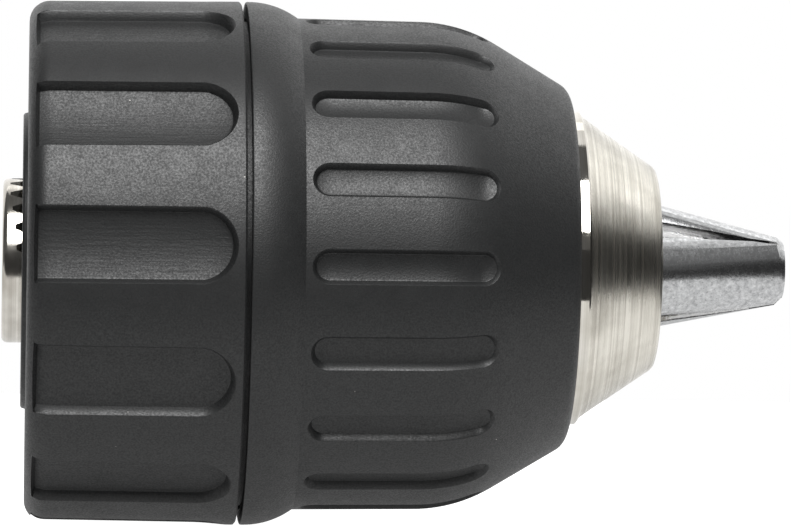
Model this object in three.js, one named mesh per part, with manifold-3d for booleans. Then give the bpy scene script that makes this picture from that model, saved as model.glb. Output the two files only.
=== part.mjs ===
// Two-sleeve keyless drill chuck, 10 mm capacity, shown with its three jaws closed.
// Millimetres. +X runs along the chuck axis from the spindle end to the jaw tips, +Z is up.
// The origin is the centre of the hub's rear face, where the spindle enters.

import * as THREE from 'three';
import { mergeVertices } from 'three/addons/utils/BufferGeometryUtils.js';
import Module from 'manifold-3d';

const wasm = await Module();
wasm.setup();

// ---------------------------------------------------------------- driving dimensions

// Clearances
const runningGap = 0.12;      // radial gap between parts that turn or slide on each other
const pressGap = 0.08;        // drawn gap of a pressed joint
const faceGap = 0.1;          // axial gap between stacked rings
const shellGap = 0.4;         // axial gap between the two sleeves and behind the body

// Spindle end of the body
const hubRadius = 6.75;
const hubProud = 1.6;         // how far the hub stands out behind the rear sleeve
const hubChamfer = 0.45;
const threadMinorRadius = 4.3;  // 3/8-24 UNF, bored to its minor diameter
const threadDepth = 14.5;
const screwHoleRadius = 3.3;  // hole for the screw that locks the chuck to its spindle
const screwWall = 2.5;
const shankBoreRadius = 5.1;  // clears a 10 mm shank

// Rear sleeve
const bossRadius = 12.15;
const bossHeight = 0.4;
const sleeveRadius = 21.54;    // widest radius of both sleeves
const rearSleeveDraft = 0.14;
const rearSleeveLength = 17.3;
const rearCorner = 1.7;
const rearWall = 2.8;
const webThickness = 7.6;
const spigotLength = 1.7;     // lip that hides the parting gap
const spigotWall = 1.2;
const spigotGap = 0.23;       // radial gap between the lip and the front sleeve's recess
const fluteCount = 12;
const fluteWidth = 5.95;
const fluteDepth = 1.05;
const fluteEndLand = 0.8;     // land left between a flute's round end and the sleeve's front
const fluteRearRim = 0.75;    // low rim left between a flute and the rear face
const fluteAzimuth = 273.7;   // one flute's azimuth, from +Z towards +Y

// Front sleeve
const edgeBevel = 0.25;
const domeRadius = 6.8;
const domeLength = 4.3;
const gripDraft = 0.12;
const gripLength = 9.9;       // from the dome's corner to where the nose blend starts
const blendRadius = 12.6;
const noseAngle = 30.8 * Math.PI / 180;
const noseEdgeRadius = 1.65;
const frontSleeveLength = 26.8;
const slotCount = 18;
const slotWidth = 2.65;
const slotLength = 14.9;
const slotDepth = 0.7;
const slotRearLand = 0.6;
const slotAzimuth = 269.5;
const lipLength = 2.7;
const lipRebate = 0.2;

// Jaws and their bores
const jawCount = 3;
const jawRadius = 3.5;
const jawAngle = 15.4 * Math.PI / 180;
const jawTipOffset = -1.1;    // a jaw's axis at its tip, measured from the chuck axis
const jawAzimuth = 17;        // first jaw, from +Z towards +Y
const jawSpan = 36;           // length along the chuck axis
const jawReach = 10.8;        // how far the closed jaws stand out of the nose
const jawGap = 0.3;           // between neighbouring closed jaws
const gripFaceOffset = 0.35;
const touchLength = 2.8;      // stretch where closed jaws meet, before their flanks are relieved
const reliefLength = 12;
const reliefAngle = 6.3 * Math.PI / 180;
const tipChamfer = 0.6;
const jawHeelBevel = 0.4;

// Screw thread between the nut and the jaws
const threadPitch = 1.6;
const toothDepth = 1.25;
const toothHalfWidth = 0.5;
const ridgeHeight = 0.95;
const ridgeHalfWidth = 0.34;
const ridgeClear = 0.25;
const ridgeSink = 0.3;
const flankRise = 0.14;       // how much wider a thread flank is at its root

// Nut, band and thrust bearing
const nutLength = 8;
const nutWall = 2.4;
const nutSplit = 0.3;
const bandWall = 1.15;
const bandLip = 0.7;
const ballRadius = 1;
const ballCount = 12;
const washerThickness = 0.9;
const washerWidth = 3.15;
const cageThickness = 0.8;
const pocketGap = 0.15;       // round each ball in the cage
const thrustRingLength = 1.9;

// Body and nose piece
const bodyRadius = 12.6;
const bodyFrontRadius = 12.3;
const bodyShoulder = 10;      // where the body widens, in front of the rear sleeve's web
const noseLandRadius = 13;
const noseLandLength = 0.95;
const noseConeRear = 12.6;
const noseConeFront = 8.3;
const noseConeLength = 6.3;
const noseChamfer = 0.2;
const spigotRearRadius = 9.2;
const spigotFrontRadius = 7.3;
const spigotStep = 3.7;       // length of the nose piece's wide bore

// Facets
const sleeveFacets = 36;
const noseFacets = 48;
const steelFacets = 32;
const jawFacets = 24;
const ridgeStepsPerTurn = 24;
const roundEndSteps = 2;
const pocketFacets = 8;

// ---------------------------------------------------------------- derived stations and fits

const rearSleeveRadius = sleeveRadius - rearSleeveDraft;
const rearInnerRadius = rearSleeveRadius - rearWall;
const spigotRadius = rearInnerRadius + spigotWall + faceGap;
const recessRadius = spigotRadius + spigotGap;
const rearFace = hubProud + bossHeight;
const rearSleeveFront = rearFace + rearSleeveLength;
const frontSleeveRear = rearSleeveFront + shellGap;
const domeEnd = frontSleeveRear + domeLength;
const gripEnd = domeEnd + gripLength;
const frontSleeveFront = frontSleeveRear + frontSleeveLength;
const webFront = rearFace + webThickness;

const thrustRingRear = rearSleeveFront + spigotLength + shellGap;
const thrustRingFront = thrustRingRear + thrustRingLength;
const rearWasherX = thrustRingFront + faceGap;
const ballCentreX = rearWasherX + washerThickness + faceGap + ballRadius;
const frontWasherX = ballCentreX + ballRadius + faceGap;
const nutRear = frontWasherX + washerThickness + 3 * faceGap;
const nutFront = nutRear + nutLength;
const bandFront = nutFront + 2 * faceGap + bandLip;

const noseRear = frontSleeveFront - 0.05;
const noseConeStart = noseRear + noseLandLength;
const noseFront = noseConeStart + noseConeLength;
const tipX = noseFront + jawReach;
const lipRadius = bodyFrontRadius + 0.15;
const lipRear = frontSleeveFront - lipRebate - lipLength;

const jawSlope = Math.tan(jawAngle);
const jawHalfHeight = jawRadius / Math.cos(jawAngle);
const jawAxisAt = (x) => jawTipOffset + jawSlope * (tipX - x);
const jawOuterAt = (x) => jawAxisAt(x) + jawHalfHeight;

const washerInner = jawOuterAt(rearWasherX) + 0.5;
const washerOuter = washerInner + washerWidth;
const nutRadius = jawOuterAt(nutRear) + ridgeClear + nutWall;
const seatRadius = washerInner - 0.2;
const ballPitchRadius = (washerInner + washerOuter) / 2;
const bearingRoomRadius = washerOuter + 0.4;
const thrustRingRadius = bearingRoomRadius - 0.3;
const bandRadius = nutRadius + faceGap + bandWall;
const nutRoomRadius = bandRadius + 0.15;
const threadStart = nutRear + 0.7;

// ---------------------------------------------------------------- solids by code

function solidOf(geometry) {
  const bare = geometry.index ? geometry.clone() : mergeVertices(geometry);
  bare.deleteAttribute('normal');
  bare.deleteAttribute('uv');
  const merged = mergeVertices(bare, 1e-5);
  const vertProperties = new Float32Array(merged.attributes.position.array);
  const triVerts = new Uint32Array(merged.index.array);
  return new wasm.Manifold(new wasm.Mesh({ numProp: 3, vertProperties, triVerts }));
}

function geometryOf(solid) {
  const mesh = solid.getMesh();
  const geometry = new THREE.BufferGeometry();
  geometry.setAttribute('position', new THREE.BufferAttribute(mesh.vertProperties, 3));
  geometry.setIndex(new THREE.BufferAttribute(mesh.triVerts, 1));
  geometry.computeVertexNormals();
  return geometry;
}

function cutAll(solid, cutters) {
  let result = solid;
  for (const cutter of cutters) {
    result = result.subtract(cutter);
  }
  return result;
}

// A ring turned about +X. The profile lists [station, radius] along the outside from rear to
// front, then back along the inside. One facet is centred on the azimuth `facing`, if it is given.
function turned(profile, facets, facing = 180 / facets) {
  const points = profile.map(([x, r]) => new THREE.Vector2(r, x));
  const [firstX, firstR] = profile[0];
  points.push(new THREE.Vector2(firstR, firstX));
  const phase = THREE.MathUtils.degToRad(-facing - 180 / facets);
  const lathe = new THREE.LatheGeometry(points, facets, phase);
  lathe.rotateZ(-Math.PI / 2);
  return solidOf(lathe);
}

// Points of an arc in the [station, radius] plane, angles in radians from the +X direction.
function arc(centreX, centreR, radius, from, to, steps) {
  const points = [];
  for (let i = 0; i <= steps; i += 1) {
    const angle = from + (to - from) * i / steps;
    points.push([centreX + radius * Math.cos(angle), centreR + radius * Math.sin(angle)]);
  }
  return points;
}

// Turns a geometry made in the +Z half-plane to an azimuth, in degrees from +Z towards +Y.
function atAzimuth(geometry, azimuth) {
  return geometry.clone().rotateX(-THREE.MathUtils.degToRad(azimuth));
}

// A prism with an outline in the XY plane, standing on radius `from` and reaching `height` up.
function radialPrism(shape, from, height) {
  const settings = { depth: height, bevelEnabled: false, curveSegments: roundEndSteps };
  const prism = new THREE.ExtrudeGeometry(shape, settings);
  prism.translate(0, 0, from);
  return prism;
}

// ---------------------------------------------------------------- rear sleeve

function fluteCutter() {
  const half = fluteWidth / 2;
  const endCentre = rearSleeveFront - fluteEndLand - half;
  const outline = new THREE.Shape();
  outline.moveTo(rearFace + fluteRearRim, -half);
  outline.lineTo(endCentre, -half);
  outline.absarc(endCentre, 0, half, -Math.PI / 2, Math.PI / 2, false);
  outline.lineTo(rearFace + fluteRearRim, half);
  outline.closePath();
  return radialPrism(outline, sleeveRadius - fluteDepth, 2 * fluteDepth);
}

function rearSleeve() {
  const cornerX = rearFace + rearCorner;
  const cornerR = rearSleeveRadius - rearCorner;
  const shell = turned([
    [hubProud, hubRadius + pressGap],
    [hubProud, bossRadius - 0.3],
    [hubProud + 0.3, bossRadius],
    [rearFace, bossRadius],
    ...arc(cornerX, cornerR, rearCorner, Math.PI, Math.PI / 2, 4),
    [rearSleeveFront - edgeBevel, sleeveRadius],
    [rearSleeveFront, sleeveRadius - edgeBevel],
    [rearSleeveFront, spigotRadius],
    [rearSleeveFront + spigotLength, spigotRadius],
    [rearSleeveFront + spigotLength, rearInnerRadius + faceGap],
    [webFront, rearInnerRadius],
    [webFront, hubRadius + pressGap],
  ], sleeveFacets, fluteAzimuth);
  const flutes = [];
  for (let i = 0; i < fluteCount; i += 1) {
    flutes.push(solidOf(atAzimuth(fluteCutter(), fluteAzimuth + 360 * i / fluteCount)));
  }
  return geometryOf(cutAll(shell, flutes));
}

// ---------------------------------------------------------------- front sleeve

// The rounded shoulder of the front sleeve, from its widest ring down to the start of the grip.
function domeArc() {
  const centreX = frontSleeveRear + 0.3;
  const centreR = sleeveRadius - domeRadius;
  return arc(centreX, centreR, domeRadius, Math.PI / 2, Math.acos((domeEnd - centreX) / domeRadius), 3);
}

// The rest of the front sleeve's outside, shrunk by `inset`: grip, blend, cone and nose edge.
function gripOutside(inset) {
  const gripRear = domeArc().at(-1)[1];
  const gripFront = gripRear - gripDraft;
  const blendCentreR = gripFront - blendRadius;
  const blendEndAngle = Math.PI / 2 - noseAngle;
  const blendEndX = gripEnd + blendRadius * Math.cos(blendEndAngle);
  const blendEndR = blendCentreR + blendRadius * Math.sin(blendEndAngle);
  const edgeX = frontSleeveFront - noseEdgeRadius;
  const coneAtEdge = blendEndR - (edgeX - blendEndX) * Math.tan(noseAngle);
  const edgeR = coneAtEdge - noseEdgeRadius / Math.cos(noseAngle);
  return [
    [domeEnd + edgeBevel / 10, gripRear - inset],
    ...arc(gripEnd, blendCentreR, blendRadius - inset, Math.PI / 2, blendEndAngle, 3),
    ...arc(edgeX, edgeR, noseEdgeRadius - inset, blendEndAngle, 0, 2),
  ];
}

function slotCutter(azimuth, core) {
  const half = slotWidth / 2;
  const rear = domeEnd + slotRearLand + half;
  const front = domeEnd + slotRearLand + slotLength - half;
  const outline = new THREE.Shape();
  outline.moveTo(rear, -half);
  outline.lineTo(front, -half);
  outline.absarc(front, 0, half, -Math.PI / 2, Math.PI / 2, false);
  outline.lineTo(rear, half);
  outline.absarc(rear, 0, half, Math.PI / 2, 3 * Math.PI / 2, false);
  const prism = radialPrism(outline, nutRoomRadius, sleeveRadius - nutRoomRadius);
  return solidOf(atAzimuth(prism, azimuth)).subtract(core);
}

function frontSleeve() {
  const recessFront = frontSleeveRear + spigotLength;
  const openingRadius = noseLandRadius + 0.2;
  const shell = turned([
    [frontSleeveRear, recessRadius],
    [frontSleeveRear, sleeveRadius - edgeBevel],
    [frontSleeveRear + edgeBevel, sleeveRadius],
    ...domeArc(),
    ...gripOutside(0),
    [frontSleeveFront, openingRadius],
    [frontSleeveFront - lipRebate, openingRadius],
    [frontSleeveFront - lipRebate, lipRadius],
    [lipRear, lipRadius],
    [bandFront + 3 * faceGap, nutRoomRadius],
    [nutRear - 2 * faceGap, nutRoomRadius],
    [nutRear - 2 * faceGap, bearingRoomRadius],
    [recessFront, bearingRoomRadius],
    [recessFront, recessRadius],
  ], sleeveFacets, slotAzimuth);
  const core = turned([
    [domeEnd, openingRadius - 2],
    ...gripOutside(slotDepth),
    [frontSleeveFront, openingRadius - 2],
  ], sleeveFacets, slotAzimuth);
  const slots = [];
  for (let i = 0; i < slotCount; i += 1) {
    slots.push(slotCutter(slotAzimuth + 360 * i / slotCount, core));
  }
  return geometryOf(cutAll(shell, slots));
}

// ---------------------------------------------------------------- jaws

// Lays a geometry that was made along +X on a jaw's axis, with the jaw tip at the origin.
function alongJaw(geometry) {
  return geometry.rotateY(jawAngle).translate(tipX, 0, jawTipOffset);
}

function jawBlank() {
  const length = jawSpan / Math.cos(jawAngle);
  const profile = [
    new THREE.Vector2(0, -length),
    new THREE.Vector2(jawRadius - jawHeelBevel, -length),
    new THREE.Vector2(jawRadius, -length + jawHeelBevel),
    new THREE.Vector2(jawRadius, 2),
    new THREE.Vector2(0, 2),
  ];
  const blank = new THREE.LatheGeometry(profile, jawFacets);
  blank.rotateZ(-Math.PI / 2);
  return solidOf(alongJaw(blank));
}

// Everything in front of the tip plane, with the bevel round the closed jaws' end.
function tipTrim() {
  const endRadius = jawTipOffset + jawHalfHeight - tipChamfer / 2;
  return turned([
    [tipX - tipChamfer, endRadius + tipChamfer],
    [tipX - tipChamfer, 3 * jawRadius],
    [tipX + 5, 3 * jawRadius],
    [tipX + 5, 0],
    [tipX, 0],
    [tipX, endRadius],
  ], jawFacets);
}

// Material below one flank of a jaw's 120 degree wedge: side is +1 or -1.
function flankCutters(side) {
  const lean = side * Math.PI / 6;
  const size = 3 * jawSpan;
  const flat = new THREE.BoxGeometry(size, size, size);
  flat.translate(tipX, 0, jawGap / 2 - size / 2);
  flat.rotateX(lean);
  const relief = new THREE.BoxGeometry(reliefLength, size, size);
  relief.translate(-reliefLength / 2, 0, -size / 2);
  relief.rotateY(reliefAngle);
  relief.translate(tipX - touchLength, 0, jawGap / 2);
  relief.rotateX(lean);
  return [solidOf(flat), solidOf(relief)];
}

function gripFaceCutter() {
  const size = 3 * jawSpan;
  const block = new THREE.BoxGeometry(size, size, size);
  block.translate(tipX, 0, gripFaceOffset - size / 2);
  return solidOf(block);
}

// Straight grooves across a jaw's outer side, one thread pitch apart and in step with the nut.
function toothCutters(azimuth) {
  const cutters = [];
  const heel = tipX - jawSpan;
  const lastGroove = noseFront - 1.4;
  const phase = threadStart - threadPitch * azimuth / 360;
  const first = Math.ceil((heel - 2 * toothHalfWidth - phase) / threadPitch);
  for (let n = first; phase + n * threadPitch < lastGroove; n += 1) {
    const x = phase + n * threadPitch;
    const floor = jawOuterAt(x) - toothDepth;
    const top = jawOuterAt(x) + 1;
    const outline = new THREE.Shape();
    outline.moveTo(x - toothHalfWidth + flankRise / 2, floor);
    outline.lineTo(x + toothHalfWidth - flankRise / 2, floor);
    outline.lineTo(x + toothHalfWidth + flankRise, top);
    outline.lineTo(x - toothHalfWidth - flankRise, top);
    outline.closePath();
    const bar = new THREE.ExtrudeGeometry(outline, { depth: 3 * jawRadius, bevelEnabled: false });
    bar.rotateX(Math.PI / 2);
    bar.translate(0, 1.5 * jawRadius, 0);
    cutters.push(solidOf(bar));
  }
  return cutters;
}

function jaw(azimuth) {
  const shaped = cutAll(jawBlank(), [
    tipTrim(),
    gripFaceCutter(),
    ...flankCutters(1),
    ...flankCutters(-1),
    ...toothCutters(azimuth),
  ]);
  return atAzimuth(geometryOf(shaped), azimuth);
}

// ---------------------------------------------------------------- body and nose piece

function jawBore(azimuth) {
  const length = 2 * jawSpan;
  const radius = jawRadius + runningGap;
  const bore = new THREE.CylinderGeometry(radius, radius, length, jawFacets);
  bore.rotateZ(-Math.PI / 2);
  bore.translate(5 - length / 2, 0, 0);
  return solidOf(atAzimuth(alongJaw(bore), azimuth));
}

function body() {
  const nutGrooveRear = nutRear - 4 * faceGap;
  const nutGrooveFront = nutFront + 5 * faceGap;
  const grooveAt = (x) => jawOuterAt(x) - toothDepth - 0.05;
  const spigotEnd = noseRear + spigotStep - faceGap;
  const blank = turned([
    [0, hubRadius - hubChamfer],
    [hubChamfer, hubRadius],
    [bodyShoulder, hubRadius],
    [bodyShoulder, bodyRadius - 0.3],
    [bodyShoulder + 0.3, bodyRadius],
    [thrustRingRear, bodyRadius],
    [thrustRingRear, thrustRingRadius],
    [thrustRingFront, thrustRingRadius],
    [thrustRingFront, seatRadius],
    [nutGrooveRear, seatRadius],
    [nutGrooveRear, grooveAt(nutGrooveRear)],
    [nutGrooveFront, grooveAt(nutGrooveFront)],
    [nutGrooveFront, bodyFrontRadius],
    [noseRear - faceGap, bodyFrontRadius],
    [noseRear - faceGap, spigotRearRadius - pressGap],
    [spigotEnd, spigotRearRadius - pressGap],
    [spigotEnd, spigotFrontRadius - pressGap],
    [noseFront - 0.3, spigotFrontRadius - pressGap],
    [noseFront - 0.3, shankBoreRadius],
    [threadDepth + screwWall, shankBoreRadius],
    [threadDepth + screwWall, screwHoleRadius],
    [threadDepth, screwHoleRadius],
    [threadDepth, threadMinorRadius],
    [0.5, threadMinorRadius],
    [0, threadMinorRadius + 0.5],
  ], steelFacets);
  const bores = [];
  for (let i = 0; i < jawCount; i += 1) {
    bores.push(jawBore(jawAzimuth + 360 * i / jawCount));
  }
  return geometryOf(cutAll(blank, bores));
}

function nosePiece() {
  return geometryOf(turned([
    [noseRear, noseLandRadius],
    [noseConeStart, noseLandRadius],
    [noseConeStart, noseConeRear],
    [noseFront - noseChamfer, noseConeFront + 0.1],
    [noseFront, noseConeFront - noseChamfer],
    [noseFront, spigotFrontRadius],
    [noseRear + spigotStep, spigotFrontRadius],
    [noseRear + spigotStep, spigotRearRadius],
    [noseRear, spigotRearRadius],
  ], noseFacets));
}

// ---------------------------------------------------------------- split nut and its band

// The thread ridge inside the nut: a trapezoid swept along a helix on a cone. It climbs towards
// +X as it turns right-handed about +X, so a right-handed turn of the nut draws the jaws back.
function threadRidge() {
  const rear = threadStart;
  const turns = (nutFront - 0.6 - rear) / threadPitch;
  const steps = Math.floor(turns * ridgeStepsPerTurn);
  const positions = [];
  for (let i = 0; i <= steps; i += 1) {
    const angle = 2 * Math.PI * i / ridgeStepsPerTurn;
    const x = rear + threadPitch * i / ridgeStepsPerTurn;
    const root = jawOuterAt(x) + ridgeClear + ridgeSink;
    const crest = jawOuterAt(x) + ridgeClear - ridgeHeight;
    const section = [
      [x - ridgeHalfWidth, root],
      [x + ridgeHalfWidth, root],
      [x + ridgeHalfWidth - flankRise, crest],
      [x - ridgeHalfWidth + flankRise, crest],
    ];
    for (const [station, radius] of section) {
      positions.push(station, -radius * Math.sin(angle), radius * Math.cos(angle));
    }
  }
  const faces = [0, 1, 2, 0, 2, 3];
  for (let i = 0; i < steps; i += 1) {
    for (let k = 0; k < 4; k += 1) {
      const a = 4 * i + k;
      const b = 4 * i + (k + 1) % 4;
      faces.push(a, a + 4, b, b, a + 4, b + 4);
    }
  }
  const last = 4 * steps;
  faces.push(last, last + 2, last + 1, last, last + 3, last + 2);
  const geometry = new THREE.BufferGeometry();
  geometry.setAttribute('position', new THREE.Float32BufferAttribute(positions, 3));
  geometry.setIndex(faces);
  return solidOf(geometry);
}

function wholeNut() {
  const ring = turned([
    [nutRear, nutRadius],
    [nutFront, nutRadius],
    [nutFront, jawOuterAt(nutFront) + ridgeClear],
    [nutRear, jawOuterAt(nutRear) + ridgeClear],
  ], steelFacets);
  return ring.add(threadRidge());
}

function nutHalf(side) {
  const size = 4 * nutRadius;
  const block = new THREE.BoxGeometry(size, size, size);
  block.translate(nutRear, 0, -side * (size / 2 - nutSplit / 2));
  return geometryOf(wholeNut().subtract(solidOf(block)));
}

function nutBand() {
  const inner = nutRadius + faceGap;
  return geometryOf(turned([
    [nutRear, bandRadius],
    [bandFront, bandRadius],
    [bandFront, bodyFrontRadius + 0.3],
    [bandFront - bandLip, bodyFrontRadius + 0.3],
    [bandFront - bandLip, inner],
    [nutRear, inner],
  ], steelFacets));
}

// ---------------------------------------------------------------- thrust bearing

function washer(rear) {
  return geometryOf(turned([
    [rear, washerOuter],
    [rear + washerThickness, washerOuter],
    [rear + washerThickness, washerInner],
    [rear, washerInner],
  ], steelFacets));
}

function bearingCage() {
  const rear = ballCentreX - cageThickness / 2;
  const ring = turned([
    [rear, washerOuter - 0.2],
    [rear + cageThickness, washerOuter - 0.2],
    [rear + cageThickness, washerInner + 0.2],
    [rear, washerInner + 0.2],
  ], steelFacets);
  const pocketRadius = ballRadius + pocketGap;
  const pockets = [];
  for (let i = 0; i < ballCount; i += 1) {
    const pocket = new THREE.CylinderGeometry(pocketRadius, pocketRadius, 3 * cageThickness, pocketFacets);
    pocket.rotateZ(-Math.PI / 2);
    pocket.translate(ballCentreX, 0, ballPitchRadius);
    pockets.push(solidOf(atAzimuth(pocket, 360 * i / ballCount)));
  }
  return geometryOf(cutAll(ring, pockets));
}

// ---------------------------------------------------------------- assembly

const blackNylon = { color: 0x1b1b1d, roughness: 0.55, metalness: 0 };
const nickel = { color: 0xc9c3b4, roughness: 0.28, metalness: 1 };
const groundSteel = { color: 0xa9aaac, roughness: 0.35, metalness: 1 };
const hardenedSteel = { color: 0x8d8f92, roughness: 0.3, metalness: 1 };
const blackSteel = { color: 0x3a3a3c, roughness: 0.5, metalness: 1 };
const brass = { color: 0xb08d4a, roughness: 0.4, metalness: 1 };

const chuck = new THREE.Group();

function addPiece(name, geometry, finish) {
  const mesh = new THREE.Mesh(geometry, new THREE.MeshStandardMaterial(finish));
  mesh.name = name;
  chuck.add(mesh);
  return mesh;
}

addPiece('body', body(), nickel);
addPiece('rear_sleeve', rearSleeve(), blackNylon);
addPiece('nose_piece', nosePiece(), nickel);
addPiece('rear_thrust_washer', washer(rearWasherX), hardenedSteel);
addPiece('bearing_cage', bearingCage(), brass);
for (let i = 0; i < ballCount; i += 1) {
  const angle = THREE.MathUtils.degToRad(360 * i / ballCount);
  const ball = new THREE.SphereGeometry(ballRadius, 8, 6);
  const number = String(i + 1).padStart(2, '0');
  const mesh = addPiece(`bearing_ball_${number}`, ball, hardenedSteel);
  mesh.position.set(ballCentreX, ballPitchRadius * Math.sin(angle), ballPitchRadius * Math.cos(angle));
}
addPiece('front_thrust_washer', washer(frontWasherX), hardenedSteel);
addPiece('nut_half_a', nutHalf(1), blackSteel);
addPiece('nut_half_b', nutHalf(-1), blackSteel);
addPiece('nut_band', nutBand(), groundSteel);
addPiece('front_sleeve', frontSleeve(), blackNylon);
for (let i = 0; i < jawCount; i += 1) {
  addPiece(`jaw_${i + 1}`, jaw(jawAzimuth + 360 * i / jawCount), groundSteel);
}

export default chuck;
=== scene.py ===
# A two-sleeve keyless drill chuck, closed, lying on a pale floor. Sizes are in millimetres and are
# turned into metres by MM; +X runs from the spindle end to the jaw tips and +Z is up.
import math

import bpy
from mathutils import Euler, Matrix, Vector


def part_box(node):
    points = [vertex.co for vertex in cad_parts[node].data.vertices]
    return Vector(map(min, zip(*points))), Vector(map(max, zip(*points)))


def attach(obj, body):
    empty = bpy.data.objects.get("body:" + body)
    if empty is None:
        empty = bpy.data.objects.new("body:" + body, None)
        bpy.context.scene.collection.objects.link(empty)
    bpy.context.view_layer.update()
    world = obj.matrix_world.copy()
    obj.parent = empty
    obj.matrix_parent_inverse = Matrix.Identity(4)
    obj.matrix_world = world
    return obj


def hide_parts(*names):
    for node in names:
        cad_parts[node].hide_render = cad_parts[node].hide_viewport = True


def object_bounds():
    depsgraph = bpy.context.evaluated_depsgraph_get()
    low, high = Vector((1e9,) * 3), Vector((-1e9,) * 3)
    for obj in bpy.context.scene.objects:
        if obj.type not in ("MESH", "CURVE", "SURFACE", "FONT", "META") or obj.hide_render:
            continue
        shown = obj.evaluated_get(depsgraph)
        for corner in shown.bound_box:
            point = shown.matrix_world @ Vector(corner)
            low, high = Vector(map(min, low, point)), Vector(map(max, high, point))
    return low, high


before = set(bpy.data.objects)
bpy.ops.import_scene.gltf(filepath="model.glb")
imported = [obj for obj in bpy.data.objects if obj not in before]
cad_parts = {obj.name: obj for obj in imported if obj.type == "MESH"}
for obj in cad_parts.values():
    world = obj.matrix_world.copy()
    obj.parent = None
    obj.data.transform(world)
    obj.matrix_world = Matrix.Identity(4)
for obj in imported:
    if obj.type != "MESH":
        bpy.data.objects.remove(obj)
cad_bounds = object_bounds()

MM = 0.001

# ---------------------------------------------------------------- body
# The steel body carries everything: its hub stands out behind the rear sleeve and is bored for the
# spindle. It is turned from bar, drilled for the three jaws, knurled for the rear sleeve and plated.


def select_only(*pieces):
    if bpy.context.mode != "OBJECT":
        bpy.ops.object.mode_set(mode="OBJECT")
    bpy.ops.object.select_all(action="DESELECT")
    for piece in pieces:
        piece.select_set(True)
        bpy.context.view_layer.objects.active = piece


def turn_on_lathe(name, profile, steps):
    """A closed ring: the outline of (station, radius) points in mm, spun round the X axis."""
    select_only()
    bpy.ops.mesh.primitive_circle_add(vertices=len(profile), radius=MM)
    ring = bpy.context.object
    ring.name = name
    for vertex, (station, radius) in zip(ring.data.vertices, profile):
        vertex.co = (station * MM, 0, radius * MM)
    bpy.ops.object.mode_set(mode="EDIT")
    bpy.ops.mesh.select_all(action="SELECT")
    bpy.ops.mesh.spin(steps=steps, angle=2 * math.pi, center=(0, 0, 0), axis=(1, 0, 0))
    bpy.ops.mesh.select_all(action="SELECT")
    bpy.ops.mesh.remove_doubles(threshold=0.002 * MM)
    bpy.ops.mesh.normals_make_consistent(inside=False)
    bpy.ops.object.mode_set(mode="OBJECT")
    return ring


def rounded(points, corner, radius, start, end, steps=4):
    """Adds an arc to an outline; angles are in degrees from the +X direction."""
    for i in range(steps + 1):
        angle = math.radians(start + (end - start) * i / steps)
        points.append((corner[0] + radius * math.cos(angle), corner[1] + radius * math.sin(angle)))


def cut_with(piece, cutter):
    """Cuts a solid out of a piece and throws the cutter away."""
    select_only(piece)
    modifier = piece.modifiers.new("cut", "BOOLEAN")
    modifier.operation = "DIFFERENCE"
    modifier.solver = "EXACT"
    modifier.object = cutter
    bpy.ops.object.modifier_apply(modifier=modifier.name)
    bpy.data.objects.remove(cutter)


def settle(piece, matrix):
    """Places a piece by moving its mesh, so that its object stays at the origin."""
    piece.data.transform(matrix @ piece.matrix_world)
    piece.matrix_world = Matrix.Identity(4)


def soften(piece, degrees):
    select_only(piece)
    bpy.ops.object.shade_smooth_by_angle(angle=math.radians(degrees))


def fitted(piece, body, slot, material, *nodes):
    """The finished piece rides on its body and stands for its CAD nodes."""
    piece.data.materials.clear()
    piece.data.materials.append(material)
    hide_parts(*nodes)
    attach(piece, body)


JAW_ANGLE = math.radians(15.4)
JAW_RADIUS = 3.5
JAW_AZIMUTHS = (17, 137, 257)
JAW_TIP_OFFSET = -1.1
TIP_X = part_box("jaw_1")[1][0] / MM


def jaw_place(azimuth):
    """From a jaw lying along X with its tip at the origin to its place in the chuck."""
    lean = Matrix.Rotation(JAW_ANGLE, 4, "Y")
    shift = Matrix.Translation((TIP_X * MM, 0, JAW_TIP_OFFSET * MM))
    turn = Matrix.Rotation(-math.radians(azimuth), 4, "X")
    return turn @ shift @ lean


def jaw_outer(station):
    """Radius of the outside of the jaws at a station along the chuck."""
    axis = JAW_TIP_OFFSET + math.tan(JAW_ANGLE) * (TIP_X - station)
    return axis + JAW_RADIUS / math.cos(JAW_ANGLE)


def new_material(name):
    material = bpy.data.materials.new(name)
    material.use_nodes = True
    return material, material.node_tree.nodes, material.node_tree.links


def new_group(name, inputs, outputs):
    """An empty shader group with float sockets, and its two end nodes."""
    group = bpy.data.node_groups.new(name, "ShaderNodeTree")
    for label, value in inputs:
        socket = group.interface.new_socket(label, in_out="INPUT", socket_type="NodeSocketFloat")
        socket.default_value = value
    for label in outputs:
        group.interface.new_socket(label, in_out="OUTPUT", socket_type="NodeSocketFloat")
    return group, group.nodes.new("NodeGroupInput"), group.nodes.new("NodeGroupOutput")


def math_node(nodes, links, operation, first, second):
    """A Math node's result; each side is a socket or a number."""
    node = nodes.new("ShaderNodeMath")
    node.operation = operation
    for value, side in zip((first, second), node.inputs):
        if isinstance(value, (int, float)):
            side.default_value = value
        else:
            links.new(value, side)
    return node.outputs["Value"]


def place_group(nodes, group, **values):
    node = nodes.new("ShaderNodeGroup")
    node.node_tree = group
    for label, value in values.items():
        node.inputs[label].default_value = value
    return node


def blend_colours(nodes, links, mask, low, high):
    """Mixes two colours by a mask socket."""
    mix = nodes.new("ShaderNodeMix")
    mix.data_type = "RGBA"
    mix.inputs["A"].default_value = (*low, 1)
    mix.inputs["B"].default_value = (*high, 1)
    links.new(mask, mix.inputs["Factor"])
    return mix.outputs["Result"]


def remapped(nodes, links, mask, low, high, start=0.0, end=1.0):
    """Stretches a mask socket from start..end to low..high."""
    node = nodes.new("ShaderNodeMapRange")
    node.inputs["From Min"].default_value = start
    node.inputs["From Max"].default_value = end
    node.inputs["To Min"].default_value = low
    node.inputs["To Max"].default_value = high
    links.new(mask, node.inputs["Value"])
    return node.outputs["Result"]


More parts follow.
